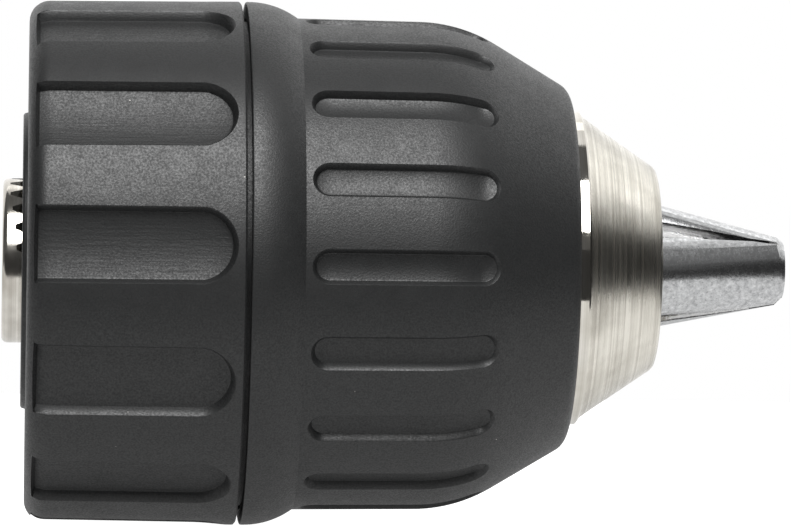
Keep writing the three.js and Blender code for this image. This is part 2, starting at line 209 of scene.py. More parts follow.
def raised(nodes, links, height, distance, normal_input):
    """Feeds a height through a Bump node into a normal socket."""
    bump = nodes.new("ShaderNodeBump")
    bump.inputs["Distance"].default_value = distance
    links.new(height, bump.inputs["Height"])
    links.new(bump.outputs["Normal"], normal_input)


def turning_marks_group():
    """Rings left by a lathe tool: they follow the station and the radius, never the angle."""
    group, start, end = new_group("turning_marks", [("Rings", 9000), ("Cone", 1.7)], ["Height", "Streak"])
    nodes, links = group.nodes, group.links
    place = nodes.new("ShaderNodeTexCoord")
    split = nodes.new("ShaderNodeSeparateXYZ")
    links.new(place.outputs["Object"], split.inputs["Vector"])
    across = nodes.new("ShaderNodeCombineXYZ")
    links.new(split.outputs["Y"], across.inputs["Y"])
    links.new(split.outputs["Z"], across.inputs["Z"])
    radius = nodes.new("ShaderNodeVectorMath")
    radius.operation = "LENGTH"
    links.new(across.outputs["Vector"], radius.inputs[0])
    leaned = math_node(nodes, links, "MULTIPLY", radius.outputs["Value"], start.outputs["Cone"])
    path = math_node(nodes, links, "SUBTRACT", split.outputs["X"], leaned)
    count = math_node(nodes, links, "MULTIPLY", path, start.outputs["Rings"])
    fine = nodes.new("ShaderNodeTexNoise")
    fine.noise_dimensions = "1D"
    fine.inputs["Scale"].default_value = 1
    fine.inputs["Detail"].default_value = 4
    fine.inputs["Roughness"].default_value = 0.7
    links.new(count, fine.inputs["W"])
    links.new(fine.outputs["Fac"], end.inputs["Height"])
    broad = nodes.new("ShaderNodeTexNoise")
    broad.noise_dimensions = "1D"
    broad.inputs["Scale"].default_value = 0.17
    broad.inputs["Detail"].default_value = 6
    broad.inputs["Roughness"].default_value = 0.8
    links.new(count, broad.inputs["W"])
    links.new(broad.outputs["Fac"], end.inputs["Streak"])
    return group


turning_marks = turning_marks_group()


def turned_metal(name, dark, light, rough, cone, rings, depth, haze=0.12):
    """Plated steel with lathe rings; rings is how many cross a metre, cone how the skin slopes."""
    material, nodes, links = new_material(name)
    surface = nodes["Principled BSDF"]
    surface.inputs["Metallic"].default_value = 1
    marks = place_group(nodes, turning_marks, Rings=rings, Cone=cone)
    cloud = nodes.new("ShaderNodeTexNoise")
    cloud.inputs["Scale"].default_value = 260
    cloud.inputs["Detail"].default_value = 5
    place = nodes.new("ShaderNodeTexCoord")
    links.new(place.outputs["Object"], cloud.inputs["Vector"])
    spread = math_node(nodes, links, "MULTIPLY", marks.outputs["Streak"], cloud.outputs["Fac"])
    tone = remapped(nodes, links, spread, 0, 1, 0.12, 0.38)
    links.new(blend_colours(nodes, links, tone, dark, light), surface.inputs["Base Color"])
    gloss = remapped(nodes, links, marks.outputs["Streak"], rough + haze, rough - haze * 0.6, 0.3, 0.7)
    links.new(gloss, surface.inputs["Roughness"])
    raised(nodes, links, marks.outputs["Height"], depth, surface.inputs["Normal"])
    return material


HUB_RADIUS = 6.75
HUB_EDGE = 0.45
HUB_LENGTH = 9.9
THREAD_MAJOR = 4.76
THREAD_DEPTH = 14.5
SCREW_HOLE_RADIUS = 3.3
SHANK_BORE_REAR = 17.0
SHANK_BORE_RADIUS = 5.1
BODY_RADIUS = 12.6
BODY_FRONT_RADIUS = 12.3
SPIGOT_RADIUS = 9.1
NOSE_BOSS_RADIUS = 7.2
NOSE_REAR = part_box("nose_piece")[0][0] / MM
NOSE_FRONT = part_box("nose_piece")[1][0] / MM
BODY_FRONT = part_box("body")[1][0] / MM
RING_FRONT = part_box("rear_thrust_washer")[0][0] / MM - 0.1
RING_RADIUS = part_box("body")[1][2] / MM
SEAT_RADIUS = RING_RADIUS - 3.5
NUT_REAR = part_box("nut_half_a")[0][0] / MM
NUT_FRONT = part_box("nut_half_a")[1][0] / MM

body_outline = [(0.0, HUB_RADIUS - HUB_EDGE)]
rounded(body_outline, (HUB_EDGE, HUB_RADIUS - HUB_EDGE), HUB_EDGE, 170, 90)
body_outline += [(HUB_LENGTH, HUB_RADIUS), (HUB_LENGTH + 0.05, BODY_RADIUS - 0.25)]
body_outline += [(HUB_LENGTH + 0.3, BODY_RADIUS), (RING_FRONT - 1.9, BODY_RADIUS)]
body_outline += [(RING_FRONT - 1.85, RING_RADIUS - 0.15), (RING_FRONT - 1.7, RING_RADIUS)]
body_outline += [(RING_FRONT - 0.15, RING_RADIUS), (RING_FRONT, RING_RADIUS - 0.15)]
body_outline += [(RING_FRONT, SEAT_RADIUS), (NUT_REAR - 0.45, SEAT_RADIUS)]
body_outline += [(NUT_REAR - 0.4, jaw_outer(NUT_REAR) - 1.35), (NUT_FRONT + 0.5, jaw_outer(NUT_FRONT) - 1.5)]
body_outline += [(NUT_FRONT + 0.55, BODY_FRONT_RADIUS), (NOSE_REAR - 0.2, BODY_FRONT_RADIUS)]
body_outline += [(NOSE_REAR - 0.15, SPIGOT_RADIUS), (NOSE_REAR + 3.5, SPIGOT_RADIUS)]
body_outline += [(NOSE_REAR + 3.55, NOSE_BOSS_RADIUS), (BODY_FRONT - 0.15, NOSE_BOSS_RADIUS)]
body_outline += [(BODY_FRONT, NOSE_BOSS_RADIUS - 0.15), (BODY_FRONT, SHANK_BORE_RADIUS + 0.2)]
body_outline += [(BODY_FRONT - 0.2, SHANK_BORE_RADIUS), (SHANK_BORE_REAR, SHANK_BORE_RADIUS)]
body_outline += [(SHANK_BORE_REAR, SCREW_HOLE_RADIUS), (THREAD_DEPTH, SCREW_HOLE_RADIUS)]
body_outline += [(THREAD_DEPTH, THREAD_MAJOR)]
body_outline += [(0.6, THREAD_MAJOR), (0.05, 5.2), (0.0, 5.3)]
body = turn_on_lathe("chuck_body", body_outline, 160)

# The straight knurl's grooves run out on the hub at uneven lengths; six of them stay under the sleeve.
KNURL_TEETH = 24
COVERED_TEETH = range(6, 12)
KNURL_GROOVE_HALF = 0.86
KNURL_GROOVE_LENGTH = 1.3
KNURL_RUN_OUT = 1.42
knurl_cutters = []
for tooth in range(KNURL_TEETH):
    if tooth in COVERED_TEETH:
        continue
    select_only()
    bpy.ops.mesh.primitive_cone_add(vertices=4, radius1=KNURL_GROOVE_HALF * MM, radius2=0.3 * MM,
                                    depth=KNURL_GROOVE_LENGTH * MM)
    groove = bpy.context.object
    uneven = 0.12 * math.sin(5.3 * tooth) + 0.1 * math.sin(11.7 * tooth)
    uneven += 0.2 * math.cos(2 * math.pi * (tooth - 7) / KNURL_TEETH)
    lay = Matrix.Rotation(-math.pi / 2, 4, "Y")
    lift = Matrix.Translation(((KNURL_RUN_OUT + uneven) * MM, 0, (HUB_RADIUS + 0.1) * MM))
    settle(groove, Matrix.Rotation(2 * math.pi * (tooth + 0.4) / KNURL_TEETH, 4, "X") @ lift @ lay)
    knurl_cutters.append(groove)
select_only(*knurl_cutters)
bpy.ops.object.join()
cut_with(body, bpy.context.object)

JAW_BORE_RADIUS = JAW_RADIUS + 0.12
JAW_BORE_LENGTH = 72
JAW_BORE_CENTRE = -31
for azimuth in JAW_AZIMUTHS:
    select_only()
    bpy.ops.mesh.primitive_cylinder_add(vertices=72, radius=JAW_BORE_RADIUS * MM, depth=JAW_BORE_LENGTH * MM)
    bore = bpy.context.object
    along = Matrix.Translation((JAW_BORE_CENTRE * MM, 0, 0)) @ Matrix.Rotation(math.pi / 2, 4, "Y")
    settle(bore, jaw_place(azimuth) @ along)
    cut_with(body, bore)
soften(body, 32)

hub_metal = turned_metal("plated_hub", (0.42, 0.39, 0.34), (0.84, 0.81, 0.75), rough=0.15, cone=1.0,
                         rings=5000, depth=0.000004, haze=0.06)
fitted(body, "body", "plated_hub", hub_metal, "body")

# ---------------------------------------------------------------- spindle thread
# The 3/8-24 thread that the drill's spindle screws into. It is tapped in the body, so it is made of
# the same plated steel; the ridge is drawn as one helix against the wall of the bore.

THREAD_PITCH = 25.4 / 24
THREAD_TURNS = 12
THREAD_START = 1.2
STEPS_A_TURN = 48
select_only()
bpy.ops.mesh.primitive_circle_add(vertices=4, radius=MM)
thread = bpy.context.object
thread.name = "spindle_thread"
ridge = [(-0.43, 4.8), (0.43, 4.8), (0.1, 4.33), (-0.1, 4.33)]
for vertex, (station, radius) in zip(thread.data.vertices, ridge):
    vertex.co = ((THREAD_START + station) * MM, 0, radius * MM)
screw = thread.modifiers.new("helix", "SCREW")
screw.axis = "X"
screw.angle = 2 * math.pi * THREAD_TURNS
screw.screw_offset = THREAD_PITCH * THREAD_TURNS * MM
screw.steps = STEPS_A_TURN * THREAD_TURNS
screw.render_steps = STEPS_A_TURN * THREAD_TURNS
screw.use_merge_vertices = True
select_only(thread)
bpy.ops.object.modifier_apply(modifier=screw.name)
bpy.ops.object.mode_set(mode="EDIT")
bpy.ops.mesh.select_all(action="DESELECT")
bpy.ops.mesh.select_mode(type="EDGE")
bpy.ops.mesh.select_non_manifold()
bpy.ops.mesh.edge_face_add()
bpy.ops.mesh.select_all(action="SELECT")
bpy.ops.mesh.normals_make_consistent(inside=False)
bpy.ops.object.mode_set(mode="OBJECT")
soften(thread, 30)
thread.data.materials.append(hub_metal)
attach(thread, "body")

# ---------------------------------------------------------------- rear sleeve
# A shell of black glass-filled nylon, pressed on the body's knurl and gripped with one hand. Twelve
# wide flutes run out at its rear and end round at the front; the mould leaves a satin grain.

REAR_BOSS_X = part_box("rear_sleeve")[0][0] / MM
REAR_LIP_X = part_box("rear_sleeve")[1][0] / MM
REAR_FACE = REAR_BOSS_X + 0.4
REAR_FRONT = REAR_LIP_X - 1.7
REAR_RADIUS = 21.4
REAR_DRAFT = 0.14
REAR_CORNER = 1.7
REAR_BORE = 6.83
REAR_LIP_RADIUS = 19.9
SLEEVE_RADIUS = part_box("rear_sleeve")[1][2] / MM


def rear_radius(station):
    """Outside radius of the rear sleeve at a station."""
    if station < REAR_FACE + REAR_CORNER:
        fall = min(REAR_FACE + REAR_CORNER - station, REAR_CORNER)
        return REAR_RADIUS - REAR_CORNER + math.sqrt(REAR_CORNER ** 2 - fall ** 2)
    share = (station - REAR_FACE - REAR_CORNER) / (REAR_FRONT - REAR_FACE - REAR_CORNER)
    return REAR_RADIUS + REAR_DRAFT * share


def recess_cutter(half_width, rear, front, depth, lip, draft, fillet, level, radius_at):
    """A round-ended recess: a disc is stretched, then inset and sunk step by step to its floor.

    The lip follows the sleeve's skin and the floor lies flat across. Forward of the level station
    the floor stays parallel to the axis, so it climbs out of a skin that slopes down."""
    select_only()
    bpy.ops.mesh.primitive_circle_add(vertices=40, radius=(half_width + lip) * MM, fill_type="NGON")
    cutter = bpy.context.object
    rear_centre, front_centre = rear + half_width, front - half_width
    for vertex in cutter.data.vertices:
        vertex.co.x += (front_centre if vertex.co.x > 0 else rear_centre) * MM
    bpy.ops.object.mode_set(mode="EDIT")
    bpy.ops.mesh.select_mode(type="EDGE")
    bpy.ops.mesh.select_all(action="DESELECT")
    bpy.ops.object.mode_set(mode="OBJECT")
    for edge in cutter.data.edges:
        ends = [cutter.data.vertices[i].co.x for i in edge.vertices]
        edge.select = abs(ends[0] - ends[1]) > 2 * MM
    bpy.ops.object.mode_set(mode="EDIT")
    bpy.ops.mesh.subdivide(number_cuts=21)
    bpy.ops.mesh.select_mode(type="FACE")
    bpy.ops.mesh.select_all(action="SELECT")
    wall = (draft, depth - lip - fillet)
    for sideways, down in ((lip, lip), wall, (0.3 * fillet, 0.7 * fillet), (0.7 * fillet, 0.3 * fillet)):
        bpy.ops.mesh.inset(thickness=sideways * MM, depth=-down * MM)
    bpy.ops.mesh.select_all(action="DESELECT")
    bpy.ops.mesh.select_mode(type="EDGE")
    bpy.ops.mesh.select_non_manifold()
    bpy.ops.mesh.extrude_edges_move(TRANSFORM_OT_translate={"value": (0, 0, 0.8 * MM)})
    bpy.ops.mesh.edge_face_add()
    bpy.ops.mesh.select_all(action="SELECT")
    bpy.ops.mesh.normals_make_consistent(inside=False)
    bpy.ops.object.mode_set(mode="OBJECT")
    for vertex in cutter.data.vertices:
        station, across, height = (value / MM for value in vertex.co)
        radius = radius_at(station)
        if station > level and height < -lip * 1.5:
            radius += (radius_at(level) - radius) * min(1, -height / depth)
        if height > -lip * 1.5:
            height += math.sqrt(radius ** 2 - across ** 2) - radius
        vertex.co = (station * MM, across * MM, (radius + height) * MM)
    return cutter


def cut_round(piece, cutter, count, azimuth):
    """Repeats a cutter round the chuck, joins the copies and cuts them out of the piece."""
    copies = []
    for i in range(count):
        copy = cutter.copy()
        copy.data = cutter.data.copy()
        bpy.context.collection.objects.link(copy)
        settle(copy, Matrix.Rotation(-math.radians(azimuth + 360 * i / count), 4, "X"))
        copies.append(copy)
    bpy.data.objects.remove(cutter)
    select_only(*copies)
    bpy.ops.object.join()
    cut_with(piece, bpy.context.object)


BOSS_RADIUS = 11.9
rear_outline = [(REAR_BOSS_X, REAR_BORE + 0.12), (REAR_BOSS_X, BOSS_RADIUS)]
rounded(rear_outline, (REAR_BOSS_X + 0.25, BOSS_RADIUS), 0.25, 160, 90, 3)
rear_outline += [(REAR_FACE, BOSS_RADIUS + 0.3)]
for i in range(10):
    angle = math.radians(180 - 10 * i)
    station = REAR_FACE + REAR_CORNER * (1 + math.cos(angle))
    rear_outline.append((station, rear_radius(station)))
for i in range(10):
    station = REAR_FACE + REAR_CORNER + (REAR_FRONT - 0.3 - REAR_FACE - REAR_CORNER) * i / 9
    rear_outline.append((station + 0.01, rear_radius(station)))
rear_outline += [(REAR_FRONT - 0.15, SLEEVE_RADIUS - 0.01), (REAR_FRONT, SLEEVE_RADIUS - 0.17)]
rear_outline += [(REAR_FRONT, REAR_LIP_RADIUS), (REAR_LIP_X - 0.1, REAR_LIP_RADIUS)]
rear_outline += [(REAR_LIP_X, REAR_LIP_RADIUS - 0.1), (REAR_LIP_X, REAR_LIP_RADIUS - 1.1)]
rear_outline += [(REAR_LIP_X - 0.1, REAR_LIP_RADIUS - 1.2), (HUB_LENGTH, REAR_LIP_RADIUS - 1.3)]
rear_outline += [(HUB_LENGTH - 0.3, REAR_LIP_RADIUS - 1.6), (HUB_LENGTH - 0.3, REAR_BORE)]
rear_outline += [(REAR_BOSS_X + 0.1, REAR_BORE)]
rear_sleeve = turn_on_lathe("rear_grip_sleeve", rear_outline, 288)

# The cutter runs past the rear face and is then cut off, which leaves each flute a leaning rear wall.
FLUTE_COUNT = 12
FLUTE_AZIMUTH = 273.7
FLUTE_HALF = 2.975
FLUTE_DEPTH = 1.05
FLUTE_REAR = REAR_FACE + 0.32
flute = recess_cutter(FLUTE_HALF, rear=REAR_FACE - 6, front=REAR_FRONT - 0.8, depth=FLUTE_DEPTH, lip=0.13,
                      draft=0.22, fillet=0.2, level=REAR_LIP_X, radius_at=rear_radius)
select_only(flute)
bpy.ops.object.mode_set(mode="EDIT")
bpy.ops.mesh.select_all(action="SELECT")
bpy.ops.mesh.bisect(plane_co=(FLUTE_REAR * MM, 0, REAR_RADIUS * MM), plane_no=(1.05, 0, 0.45),
                    clear_inner=True, use_fill=True)
bpy.ops.object.mode_set(mode="OBJECT")
cut_round(rear_sleeve, flute, FLUTE_COUNT, FLUTE_AZIMUTH)
soften(rear_sleeve, 30)


def moulded_grain_group():
    """Satin grain of a spark-eroded mould, with a slow cloudiness and a few specks of dust."""
    group, start, end = new_group("moulded_grain", [("Grain", 3800), ("Cloud", 320)],
                                  ["Height", "Mottle", "Dust"])
    nodes, links = group.nodes, group.links
    place = nodes.new("ShaderNodeTexCoord")
    fine = nodes.new("ShaderNodeTexNoise")
    fine.inputs["Detail"].default_value = 2
    fine.inputs["Roughness"].default_value = 0.5
    links.new(place.outputs["Object"], fine.inputs["Vector"])
    links.new(start.outputs["Grain"], fine.inputs["Scale"])
    links.new(fine.outputs["Fac"], end.inputs["Height"])
    cloud = nodes.new("ShaderNodeTexNoise")
    cloud.inputs["Detail"].default_value = 6
    cloud.inputs["Roughness"].default_value = 0.7
    links.new(place.outputs["Object"], cloud.inputs["Vector"])
    links.new(start.outputs["Cloud"], cloud.inputs["Scale"])
    links.new(cloud.outputs["Fac"], end.inputs["Mottle"])
    specks = nodes.new("ShaderNodeTexVoronoi")
    specks.inputs["Scale"].default_value = 330
    links.new(place.outputs["Object"], specks.inputs["Vector"])
    near = math_node(nodes, links, "LESS_THAN", specks.outputs["Distance"], 0.022)
    chance = nodes.new("ShaderNodeSeparateColor")
    links.new(specks.outputs["Color"], chance.inputs["Color"])
    few = math_node(nodes, links, "LESS_THAN", chance.outputs["Red"], 0.35)
    links.new(math_node(nodes, links, "MULTIPLY", near, few), end.inputs["Dust"])
    return group


moulded_grain = moulded_grain_group()


def black_nylon(name, grain, rough):
    """Black nylon with the mould's grain; grain is the texture's scale, rough its mean roughness."""
    material, nodes, links = new_material(name)
    surface = nodes["Principled BSDF"]
    surface.inputs["Specular IOR Level"].default_value = 0.55
    texture = place_group(nodes, moulded_grain, Grain=grain, Cloud=520)
    fleck = remapped(nodes, links, texture.outputs["Height"], 0, 1, 0.3, 0.72)
    base = blend_colours(nodes, links, fleck, (0.0035, 0.004, 0.0043), (0.019, 0.0195, 0.0195))
    dusty = nodes.new("ShaderNodeMix")
    dusty.data_type = "RGBA"
    dusty.inputs["B"].default_value = (0.35, 0.34, 0.32, 1)
    links.new(base, dusty.inputs["A"])
    links.new(texture.outputs["Dust"], dusty.inputs["Factor"])
    links.new(dusty.outputs["Result"], surface.inputs["Base Color"])
    slow = remapped(nodes, links, texture.outputs["Mottle"], -0.04, 0.04, 0.35, 0.7)
    quick = remapped(nodes, links, texture.outputs["Height"], rough + 0.1, rough - 0.07, 0.34, 0.66)
    links.new(math_node(nodes, links, "ADD", slow, quick), surface.inputs["Roughness"])
    raised(nodes, links, texture.outputs["Height"], 0.000018, surface.inputs["Normal"])
    return material


rear_nylon = black_nylon("black_nylon_rear", 6400, 0.47)
fitted(rear_sleeve, "body", "black_nylon", rear_nylon, "rear_sleeve")


def drawn_lines_group():
    """Fine lines along the chuck, from the mould's slides being drawn out of the flutes."""
    group, start, end = new_group("drawn_lines", [("Count", 4200)], ["Lines"])
    nodes, links = group.nodes, group.links
    place = nodes.new("ShaderNodeTexCoord")
    stretch = nodes.new("ShaderNodeVectorMath")
    stretch.operation = "MULTIPLY"
    stretch.inputs[1].default_value = (0.06, 1, 1)
    lines = nodes.new("ShaderNodeTexNoise")
    lines.inputs["Detail"].default_value = 3
    links.new(place.outputs["Object"], stretch.inputs[0])
    links.new(stretch.outputs["Vector"], lines.inputs["Vector"])
    links.new(start.outputs["Count"], lines.inputs["Scale"])
    links.new(lines.outputs["Fac"], end.inputs["Lines"])
    return group


floor_nylon = black_nylon("black_nylon_flute_floor", 6400, 0.5)
nodes, links = floor_nylon.node_tree.nodes, floor_nylon.node_tree.links
drawn = place_group(nodes, drawn_lines_group(), Count=4200)
surface = nodes["Principled BSDF"]
grain_bump = surface.inputs["Normal"].links[0].from_node
over = nodes.new("ShaderNodeBump")
over.inputs["Distance"].default_value = 0.00002
links.new(drawn.outputs["Lines"], over.inputs["Height"])
links.new(grain_bump.outputs["Normal"], over.inputs["Normal"])
links.new(over.outputs["Normal"], surface.inputs["Normal"])
rear_sleeve.data.materials.append(floor_nylon)
for face in rear_sleeve.data.polygons:
    sunk = REAR_RADIUS - math.hypot(face.center.y, face.center.z) / MM
    if 0.7 < sunk < 1.3 and face.center.x > 3 * MM:
        face.material_index = 1

# ---------------------------------------------------------------- thrust bearing
# Two ground washers with a ball track each, and a stamped brass cage with twelve balls between them.
# It takes the load when the jaws grip; the cage turns at half the sleeve's speed.

BALL_COUNT = 12
BALL_RADIUS = 1.0
WASHER_WIDTH = 3.15
TRACK_DEPTH = 0.16
CAGE_WIDTH = 2.75
CAGE_POCKET_RADIUS = 1.12


def box_in_mm(node):
    low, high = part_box(node)
    return [value / MM for value in low], [value / MM for value in high]


def ground_steel(name, low, high, rough, scale):
    """Steel ground to a satin finish: faint mottling and short scratches."""
    material, nodes, links = new_material(name)
    surface = nodes["Principled BSDF"]
    surface.inputs["Metallic"].default_value = 1
    place = nodes.new("ShaderNodeTexCoord")
    cloud = nodes.new("ShaderNodeTexNoise")
    cloud.inputs["Scale"].default_value = scale
    cloud.inputs["Detail"].default_value = 8
    cloud.inputs["Roughness"].default_value = 0.75
    links.new(place.outputs["Object"], cloud.inputs["Vector"])
    tone = remapped(nodes, links, cloud.outputs["Fac"], 0, 1, 0.35, 0.68)
    links.new(blend_colours(nodes, links, tone, low, high), surface.inputs["Base Color"])
    gloss = remapped(nodes, links, cloud.outputs["Fac"], rough + 0.1, rough - 0.06, 0.35, 0.68)
    links.new(gloss, surface.inputs["Roughness"])
    grit = nodes.new("ShaderNodeTexNoise")
    grit.inputs["Scale"].default_value = 4200
    grit.inputs["Detail"].default_value = 3
    links.new(place.outputs["Object"], grit.inputs["Vector"])
    raised(nodes, links, grit.outputs["Fac"], 0.00001, surface.inputs["Normal"])
    return material


hardened = ground_steel("hardened_steel", (0.3, 0.31, 0.32), (0.5, 0.5, 0.51), 0.24, 500)
ball_low, ball_high = box_in_mm("bearing_ball_01")
BALL_X = (ball_low[0] + ball_high[0]) / 2
PITCH_RADIUS = (ball_low[2] + ball_high[2]) / 2

for name, node, track_side, rider in (("rear_race_washer", "rear_thrust_washer", 1, "body"),
                                      ("front_race_washer", "front_thrust_washer", -1, "sleeve")):
    low, high = box_in_mm(node)
    outer, inner = high[2], high[2] - WASHER_WIDTH
    face = high[0] if track_side > 0 else low[0]
    back = low[0] if track_side > 0 else high[0]
    track = []
    for i in range(7):
        angle = math.radians(40 - 80 * i / 6)
        sink = TRACK_DEPTH * math.cos(angle) - 0.1
        track.append((face - track_side * max(sink, 0), PITCH_RADIUS + 0.8 * math.sin(angle)))
    edge = 0.12 * track_side
    outline = [(back, outer - 0.12), (back + edge, outer), (face - edge, outer), (face, outer - 0.12)]
    outline += track
    outline += [(face, inner + 0.12), (face - edge, inner), (back + edge, inner), (back, inner + 0.12)]
    race = turn_on_lathe(name, outline, 128)
    soften(race, 35)
    fitted(race, rider, "hardened_steel", hardened, node)

low, high = box_in_mm("bearing_cage")
outer, inner = high[2], high[2] - CAGE_WIDTH
outline = [(low[0], outer - 0.1), (low[0] + 0.1, outer), (high[0] - 0.1, outer), (high[0], outer - 0.1)]
outline += [(high[0], inner + 0.1), (high[0] - 0.1, inner), (low[0] + 0.1, inner), (low[0], inner + 0.1)]
cage = turn_on_lathe("ball_cage", outline, 128)
select_only()
bpy.ops.mesh.primitive_cylinder_add(vertices=32, radius=CAGE_POCKET_RADIUS * MM, depth=3 * MM)
pocket = bpy.context.object
on_pitch = Matrix.Translation((BALL_X * MM, 0, PITCH_RADIUS * MM))
settle(pocket, on_pitch @ Matrix.Rotation(math.pi / 2, 4, "Y"))
cut_round(cage, pocket, BALL_COUNT, 0)
soften(cage, 35)
cage_brass = ground_steel("cage_brass", (0.42, 0.28, 0.1), (0.66, 0.47, 0.2), 0.34, 700)
fitted(cage, "bearing", "cage_brass", cage_brass, "bearing_cage")

for i in range(BALL_COUNT):
    node = f"bearing_ball_{i + 1:02d}"
    select_only()
    bpy.ops.mesh.primitive_ico_sphere_add(subdivisions=4, radius=BALL_RADIUS * MM)
    ball = bpy.context.object
    ball.name = f"ball_{i + 1:02d}"
    angle = 2 * math.pi * i / BALL_COUNT
    centre = Vector((BALL_X, PITCH_RADIUS * math.sin(angle), PITCH_RADIUS * math.cos(angle))) * MM
    settle(ball, Matrix.Translation(centre))
    soften(ball, 40)
    fitted(ball, "bearing", "hardened_steel", hardened, node)

# ---------------------------------------------------------------- split nut and band
# The nut is cut in two so that it goes round the body's groove, and a steel band holds the halves
# together. It is phosphated dark; its conical thread drives the teeth of the jaws.

phosphate = ground_steel("phosphated_steel", (0.03, 0.03, 0.033), (0.085, 0.082, 0.08), 0.5, 900)
for side in ("a", "b"):
    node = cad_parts[f"nut_half_{side}"]
    half = node.copy()
    half.data = node.data.copy()
    half.name = f"split_nut_{side}"
    bpy.context.collection.objects.link(half)
    half.parent = None
    select_only(half)
    bpy.ops.object.mode_set(mode="EDIT")
    bpy.ops.mesh.select_all(action="SELECT")
    bpy.ops.mesh.remove_doubles(threshold=0.001 * MM)
    bpy.ops.mesh.dissolve_limited(angle_limit=math.radians(0.5))
    bpy.ops.object.mode_set(mode="OBJECT")
    soften(half, 30)
    fitted(half, "sleeve", "phosphated_steel", phosphate, f"nut_half_{side}")

low, high = box_in_mm("nut_band")
outer = high[2]
BAND_WALL = 1.15
BAND_BEND = 0.6
BAND_MOUTH = 12.6
outline = [(low[0], outer - 0.25)]
rounded(outline, (low[0] + 0.2, outer - 0.2), 0.2, 170, 90, 3)
rounded(outline, (high[0] - BAND_BEND, outer - BAND_BEND), BAND_BEND, 90, 0, 6)
outline += [(high[0], BAND_MOUTH + 0.15), (high[0] - 0.15, BAND_MOUTH), (high[0] - 0.7, BAND_MOUTH)]
outline += [(high[0] - 0.7, outer - BAND_WALL), (low[0] + 0.1, outer - BAND_WALL)]
outline += [(low[0], outer - BAND_WALL + 0.1)]
band = turn_on_lathe("nut_retaining_band", outline, 128)
soften(band, 35)
fitted(band, "sleeve", "hardened_steel", hardened, "nut_band")

# ---------------------------------------------------------------- front sleeve
# The shell that is turned by hand, of the same black nylon. A rounded shoulder leads to a grip with
# eighteen narrow round-ended slots, then a blend and a cone down to the nose.

FRONT_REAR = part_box("front_sleeve")[0][0] / MM
FRONT_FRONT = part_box("front_sleeve")[1][0] / MM
DOME_X = FRONT_REAR + 0.3
DOME_RADIUS = 6.8
SHOULDER_END = FRONT_REAR + 4.3
GRIP_END = SHOULDER_END + 9.9
GRIP_RADIUS = SLEEVE_RADIUS - DOME_RADIUS + math.sqrt(DOME_RADIUS ** 2 - (SHOULDER_END - DOME_X) ** 2)
GRIP_DRAFT = 0.12
BLEND_RADIUS = 12.6
NOSE_ANGLE = math.radians(30.8)
BLEND_END = GRIP_END + BLEND_RADIUS * math.sin(NOSE_ANGLE)
EDGE_RADIUS = 1.65
EDGE_X = FRONT_FRONT - EDGE_RADIUS
FRONT_LIP_RADIUS = 20.3
FRONT_BORE = 13.2
NUT_BORE = 16.8
BEARING_BORE = 17.95


def cone_radius(station):
    """Radius of the straight cone between the grip's blend and the sleeve's front edge."""
    top = GRIP_RADIUS - GRIP_DRAFT - BLEND_RADIUS * (1 - math.cos(NOSE_ANGLE))
    return top - (station - BLEND_END) * math.tan(NOSE_ANGLE)


EDGE_CENTRE = cone_radius(EDGE_X) - EDGE_RADIUS / math.cos(NOSE_ANGLE)


def front_radius(station):
    """Outside radius of the front sleeve at a station."""
    if station < SHOULDER_END:
        fall = max(station - DOME_X, 0)
        return SLEEVE_RADIUS - DOME_RADIUS + math.sqrt(DOME_RADIUS ** 2 - fall ** 2)
    if station < GRIP_END:
        return GRIP_RADIUS - GRIP_DRAFT * (station - SHOULDER_END) / (GRIP_END - SHOULDER_END)
    if station < BLEND_END:
        drop = BLEND_RADIUS - math.sqrt(BLEND_RADIUS ** 2 - (station - GRIP_END) ** 2)
        return GRIP_RADIUS - GRIP_DRAFT - drop
    if station < EDGE_X + EDGE_RADIUS * math.sin(NOSE_ANGLE):
        return cone_radius(station)
    return EDGE_CENTRE + math.sqrt(max(EDGE_RADIUS ** 2 - (station - EDGE_X) ** 2, 0))


front_outline = [(FRONT_REAR, FRONT_LIP_RADIUS), (FRONT_REAR, SLEEVE_RADIUS - 0.16)]
rounded(front_outline, (FRONT_REAR + 0.14, SLEEVE_RADIUS - 0.14), 0.14, 165, 90, 3)
for i in range(1, 13):
    station = DOME_X + (SHOULDER_END - DOME_X) * i / 12
    front_outline.append((station, front_radius(station - 0.0001)))
for i in range(1, 9):
    station = SHOULDER_END + 0.05 + (GRIP_END - SHOULDER_END - 0.05) * i / 8
    front_outline.append((station, front_radius(station)))
for i in range(1, 13):
    station = GRIP_END + (BLEND_END - GRIP_END) * i / 12
    front_outline.append((station, front_radius(station)))
for i in range(1, 5):
    station = BLEND_END + (EDGE_X + EDGE_RADIUS * math.sin(NOSE_ANGLE) - BLEND_END) * i / 4
    front_outline.append((station, front_radius(station)))
rounded(front_outline, (EDGE_X, EDGE_CENTRE), EDGE_RADIUS, 52, 0, 7)
front_outline += [(FRONT_FRONT, FRONT_BORE + 0.15), (FRONT_FRONT - 0.12, FRONT_BORE)]
front_outline += [(FRONT_FRONT - 0.2, FRONT_BORE), (FRONT_FRONT - 0.2, FRONT_BORE - 0.75)]
front_outline += [(FRONT_FRONT - 2.9, FRONT_BORE - 0.75), (NUT_FRONT + 1.3, NUT_BORE)]
front_outline += [(NUT_REAR - 0.2, NUT_BORE), (NUT_REAR - 0.2, BEARING_BORE)]
front_outline += [(FRONT_REAR + 1.7, BEARING_BORE)]
front_outline += [(FRONT_REAR + 1.7, FRONT_LIP_RADIUS - 0.2), (FRONT_REAR + 0.1, FRONT_LIP_RADIUS - 0.15)]
front_sleeve = turn_on_lathe("front_grip_sleeve", front_outline, 288)

